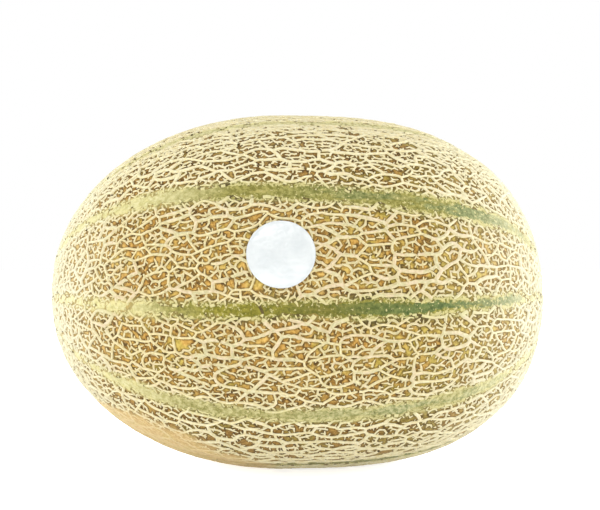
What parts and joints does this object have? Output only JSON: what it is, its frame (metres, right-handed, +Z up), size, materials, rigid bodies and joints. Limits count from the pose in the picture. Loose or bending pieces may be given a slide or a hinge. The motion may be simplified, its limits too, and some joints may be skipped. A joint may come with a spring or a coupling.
{
  "type": "cantaloupe",
  "caption": "Whole netted oval cantaloupe lying on its side, with green vein tracts between shallow ribs and a blank round produce label.",
  "frame": {"origin": "middle of the overall box, on the surface the fruit rests on, under the small flat spot", "axes": "+X along the long axis from the blossom end to the stem end, +Z up, -Y towards the side with the label"},
  "size_m": [0.2168, 0.1576, 0.1575],
  "materials": {
    "rind": "matt corky net over a satin ochre and olive green skin",
    "label": "satin white coated paper, blank"
  },
  "bodies": {
    "root": {"melon": "rind", "label": "label"}
  },
  "joints": []
}
